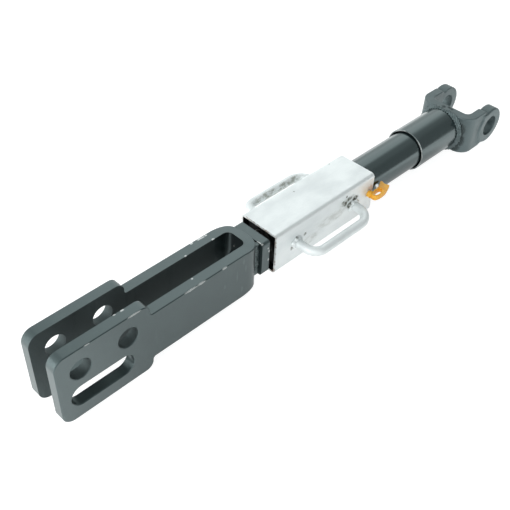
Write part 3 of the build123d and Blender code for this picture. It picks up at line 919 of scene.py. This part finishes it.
class SpindleOperator(bpy.types.Operator):
    """Cuts the spindle's thread and finishes what is fixed on it"""

    bl_idname = "stabilizer_link.spindle"
    bl_label = "Threaded spindle"

    def execute(self, context):
        thread = context.scene.link_thread
        steel = steel_material("greased_steel", (0.05, 0.05, 0.05), (0.16, 0.16, 0.15), 0.3)
        low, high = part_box("spindle")
        radius = high.z
        shoulder_x = BLOCK_LOW.x
        thread_x = BLOCK_HIGH.x - 2.0 * MM
        end_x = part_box("stop_collar")[0].x
        tail_radius = radius - SPINDLE_STEP
        bm = bmesh.new()
        self.cut_thread(bm, thread, thread_x, end_x, radius)
        bar_along_x(bm, low.x, shoulder_x, tail_radius, 40)
        bar_along_x(bm, shoulder_x, thread_x, radius, 48)
        bar_along_x(bm, end_x, high.x, tail_radius, 40)
        piece = finished_piece("threaded_spindle", bm, steel, "fork_body")
        piece.data.set_sharp_from_angle(angle=math.radians(35))
        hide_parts("spindle")
        finish_nodes(steel, "stop_collar", "stop_pin")
        return {"FINISHED"}

    def cut_thread(self, bm, thread, start, end, crest):
        """Winds one pitch of the profile along X and cuts its ends flat."""
        root = crest - thread.depth
        flank = FLANK_SHARE * thread.pitch
        flat = CREST_SHARE * thread.pitch
        first = start - thread.pitch
        outline = [(0.0, root), (flank, crest), (flank + flat, crest), (2 * flank + flat, root),
                   (thread.pitch, root)]
        verts, edges = chain(bm, [(first + x, 0.0, r) for x, r in outline])
        turns = math.ceil((end - start) / thread.pitch) + 2
        steps = turns * thread.steps
        bmesh.ops.spin(
            bm, geom=verts + edges, cent=(0, 0, 0), axis=(1, 0, 0), angle=turns * 2 * math.pi,
            dvec=(thread.pitch / thread.steps, 0, 0), steps=steps, space=Matrix.Identity(4))
        bmesh.ops.remove_doubles(bm, verts=bm.verts, dist=TURNED_MERGE)
        for x, outwards in ((start, -1.0), (end, 1.0)):
            cut = bmesh.ops.bisect_plane(
                bm, geom=bm.verts[:] + bm.edges[:] + bm.faces[:], dist=0.0, plane_co=(x, 0, 0),
                plane_no=(outwards, 0, 0), clear_outer=True)
            rim = [item for item in cut["geom_cut"] if isinstance(item, bmesh.types.BMEdge)]
            bmesh.ops.holes_fill(bm, edges=rim, sides=0)
        bmesh.ops.recalc_face_normals(bm, faces=bm.faces)


# Sizes of a bead's large and small lumps, and how high the small ones are beside the large
LARGE_LUMP, SMALL_LUMP, SMALL_SHARE = 4.0 * MM, 1.6 * MM, 0.4


class WeldOperator(bpy.types.Operator):
    """Lays the weld beads"""

    bl_idname = "stabilizer_link.welds"
    bl_label = "Weld beads"

    def execute(self, context):
        scene = context.scene
        finishes = scene.link_finishes
        welds = scene.link_welds
        paint = paint_material("weld_paint", finishes, (), smears=1.0)
        forged = forged_material("yoke_weld_paint", finishes)
        zinc = zinc_material("weld_zinc", finishes, WELD_STAINS)
        handle_row = ("sleeve_body", "zinc_plate", zinc, 1.5, self.flow_round_y)
        # Bead, CAD node, body, slot, finish, strength of its lumps, and the way that it flows
        rows = (
            ("block_bead", "block_weld", "fork_body", "dark_paint", paint, 0.7, self.flow_down),
            ("tail_bead", "tail_weld", "fork_body", "dark_paint", paint, 0.7, self.flow_round_x),
            ("yoke_bead", "yoke_weld", "yoke_body", "forged_paint", forged, 1.0, self.flow_round_x),
            ("near_handle_beads", "near_handle_welds", *handle_row),
            ("far_handle_beads", "far_handle_welds", *handle_row),
        )
        for number, (name, node, body, slot, material, strength, flow) in enumerate(rows):
            bm = softened(name, copy_of(node), welds.voxel, 3)
            large = lumps(LARGE_LUMP, number)
            small = lumps(SMALL_LUMP, number + 10)
            push(bm, lambda place: strength * (
                welds.lump * large(place) + SMALL_SHARE * welds.lump * small(place)
                + welds.ripple * flow(place)))
            piece = finished_piece(name, bm, material, body)
            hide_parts(node)
        return {"FINISHED"}

    def flow_down(self, place):
        """Ripples of a bead drawn from top to bottom."""
        return math.sin(place.z / (0.55 * MM))

    def flow_round_x(self, place):
        """Ripples of a bead drawn round the link's axis."""
        radius = max(math.hypot(place.y, place.z), 1.0 * MM)
        return math.sin(math.atan2(place.z, place.y) * radius / (0.6 * MM))

    def flow_round_y(self, place):
        """Ripples of a bead drawn round a handle's foot."""
        low, high = HANDLE_WELDS_LOW, HANDLE_WELDS_HIGH
        half = (high.z - low.z) / 2
        foot = low.x + half if place.x < (low.x + high.x) / 2 else high.x - half
        return math.sin(7.0 * math.atan2(place.z, place.x - foot))


class SleeveOperator(bpy.types.Operator):
    """Plates the locking sleeve and its handles with zinc"""

    bl_idname = "stabilizer_link.sleeve"
    bl_label = "Locking sleeve and handles"

    def execute(self, context):
        finishes = context.scene.link_finishes
        sleeve = zinc_material(
            "sleeve_zinc", finishes, WELD_STAINS, SLEEVE_SMUDGES, LOOP_REFLECTIONS, sleeve=True)
        finish_nodes(sleeve, "locking_sleeve")
        handles = zinc_material("handle_zinc", finishes, WELD_STAINS, HANDLE_DIRT, duller=0.12, soot=0.9)
        finish_nodes(handles, "near_handle", "far_handle")
        return {"FINISHED"}


class LoopOperator(bpy.types.Operator):
    """Moulds the yellow pull loop round its latch pin and sets its stud"""

    bl_idname = "stabilizer_link.loop"
    bl_label = "Pull loop"

    def execute(self, context):
        finishes = context.scene.link_finishes
        loop = context.scene.link_loop
        plastic = plastic_material("loop_plastic", finishes)
        bm = self.mould(loop)
        bm = softened("pull_loop", bm, loop.voxel, loop.softness)
        piece = finished_piece("pull_loop", bm, plastic, "latch_body")
        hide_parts("clip_loop")
        zinc = zinc_material("latch_zinc", finishes, duller=0.2)
        stud = finished_piece("loop_stud", self.turn_stud(loop), zinc, "latch_body")
        stud.data.set_sharp_from_angle(angle=math.radians(50))
        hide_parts("clip_rivet")
        finish_nodes(zinc, "latch_pin")
        return {"FINISHED"}

    def mould(self, loop):
        """The loop's wall round its hole, the tail that thins out, and the hub on the latch pin."""
        bm = bmesh.new()
        edges = []
        for outline in (LOOP_OUTSIDE, LOOP_HOLE):
            curve = closed_curve(outline, 6)
            edges += chain(bm, [(x * MM, y * MM, 0.0) for x, y in curve], closed=True)[1]
        rim = bmesh.ops.triangle_fill(bm, use_beauty=True, use_dissolve=False, edges=edges)["geom"]
        rim_faces = [item for item in rim if isinstance(item, bmesh.types.BMFace)]
        lower = bmesh.ops.extrude_face_region(bm, geom=rim_faces, use_keep_orig=True)["geom"]
        lower = {item for item in lower if isinstance(item, bmesh.types.BMVert)}
        middle_x = (LOOP_TAIL_X + LOOP_ROUND_X) / 2 * MM
        for vert in bm.verts:
            height = loop.rim_height + loop.tilt * (vert.co.x - middle_x)
            if vert in lower:
                along = (vert.co.x / MM - LOOP_SLOPE_X) / (LOOP_TAIL_X - LOOP_SLOPE_X)
                along = min(max(along, 0.0), 1.0)
                height -= loop.depth + (loop.tail_depth - loop.depth) * along
            vert.co.z = height
        pin_low, pin_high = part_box("latch_pin")
        start_y = SLEEVE_LOW.y - 0.15 * MM
        end_y = LOOP_OUTSIDE[0][1] * MM - 1.5 * MM
        middle = Vector(((pin_low.x + pin_high.x) / 2, (start_y + end_y) / 2,
                         (pin_low.z + pin_high.z) / 2))
        turn = Matrix.Translation(middle) @ Matrix.Rotation(math.pi / 2, 4, "X")
        bmesh.ops.create_cone(
            bm, cap_ends=True, segments=40, radius1=0.95 * loop.hub, radius2=loop.hub,
            depth=start_y - end_y, matrix=turn)
        bmesh.ops.recalc_face_normals(bm, faces=bm.faces)
        return bm

    def turn_stud(self, loop):
        """A small stud with a round head, on the loop's back wall."""
        bm = bmesh.new()
        radius = loop.stud_head
        shank = 0.4 * radius
        bottom = loop.rim_height - 0.4 * loop.depth
        neck = loop.stud_top - 1.7 * radius
        outline = [(0.0, bottom), (shank, bottom), (shank, neck)]
        for step in range(9):
            angle = math.radians(-60 + 150 * step / 8)
            outline.append((radius * math.cos(angle), loop.stud_top - radius + radius * math.sin(angle)))
        outline[-1] = (0.0, loop.stud_top)
        verts, edges = chain(bm, [(r, 0.0, z) for r, z in outline])
        bmesh.ops.spin(
            bm, geom=verts + edges, cent=(0, 0, 0), axis=(0, 0, 1), angle=2 * math.pi, steps=24,
            space=Matrix.Identity(4))
        bmesh.ops.remove_doubles(bm, verts=bm.verts, dist=TURNED_MERGE)
        bmesh.ops.recalc_face_normals(bm, faces=bm.faces)
        x, y = LOOP_STUD
        bmesh.ops.translate(bm, vec=(x * MM, y * MM, 0.0), verts=bm.verts)
        return bm


class TubesOperator(bpy.types.Operator):
    """Paints the inner and the outer tube"""

    bl_idname = "stabilizer_link.tubes"
    bl_label = "Tubes"

    def execute(self, context):
        finishes = context.scene.link_finishes
        finish_nodes(tube_paint("inner_tube_paint", finishes, mouth=False), "inner_tube")
        finish_nodes(tube_paint("outer_tube_paint", finishes, mouth=True), "outer_tube")
        return {"FINISHED"}


class SwivelOperator(bpy.types.Operator):
    """Finishes the nut and the swivel inside the tubes"""

    bl_idname = "stabilizer_link.swivel"
    bl_label = "Nut and swivel"

    def execute(self, context):
        # Painted shade: the nut is near black, as greased steel and as the shade inside the sleeve's
        # mouth.
        dark = steel_material("nut_steel_and_shade", (0.015, 0.015, 0.015), (0.03, 0.03, 0.03), 0.45)
        finish_nodes(dark, "square_nut", "nut_weld")
        bright = steel_material("swivel_steel", (0.30, 0.30, 0.29), (0.42, 0.42, 0.41), 0.28)
        finish_nodes(bright, "swivel_journal", "journal_weld", "bearing_ring", "front_thrust_washer",
                     "rear_thrust_washer", "collar_nut", "collar_pin")
        return {"FINISHED"}


class YokeOperator(bpy.types.Operator):
    """Forges the yoke with soft edges and a rough skin"""

    bl_idname = "stabilizer_link.yoke"
    bl_label = "Forged yoke"

    def execute(self, context):
        scene = context.scene
        yoke = scene.link_yoke
        material = forged_material("yoke_paint", scene.link_finishes, YOKE_DARK_SPOTS)
        bm = softened("forged_yoke", copy_of("yoke"), yoke.voxel, yoke.softness)
        dents = lumps(14.0 * MM, 5)
        push(bm, lambda place: 0.5 * yoke.dent * (min(dents(place), 1.0) - 1.0))
        piece = finished_piece("forged_yoke", bm, material, "yoke_body")
        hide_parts("yoke")
        return {"FINISHED"}


OPERATORS = (
    StageOperator, ForkOperator, SpindleOperator, WeldOperator, SleeveOperator, LoopOperator,
    TubesOperator, SwivelOperator, YokeOperator,
)


class StabilizerLinkPanel(bpy.types.Panel):
    """Lists the link's pieces and their settings"""

    bl_idname = "VIEW3D_PT_stabilizer_link"
    bl_label = "Stabilizer Link"
    bl_space_type = "VIEW_3D"
    bl_region_type = "UI"
    bl_category = "Stabilizer Link"

    def draw(self, context):
        for operator in OPERATORS:
            self.layout.operator(operator.bl_idname)
        for name, group in SETTINGS.items():
            box = self.layout.box()
            box.label(text=group.__doc__)
            settings = getattr(context.scene, name)
            for title in group.__annotations__:
                box.prop(settings, title)


def register():
    """Registers the settings, the operators and the panel."""
    for name, group in SETTINGS.items():
        bpy.utils.register_class(group)
        setattr(bpy.types.Scene, name, PointerProperty(type=group))
    for operator in OPERATORS:
        bpy.utils.register_class(operator)
    bpy.utils.register_class(StabilizerLinkPanel)


def unregister():
    """Takes back what register did."""
    bpy.utils.unregister_class(StabilizerLinkPanel)
    for operator in reversed(OPERATORS):
        bpy.utils.unregister_class(operator)
    for name, group in reversed(SETTINGS.items()):
        delattr(bpy.types.Scene, name)
        bpy.utils.unregister_class(group)


def main():
    register()
    for operator in OPERATORS:
        group, name = operator.bl_idname.split(".")
        getattr(getattr(bpy.ops, group), name)()


if __name__ == "__main__":
    main()
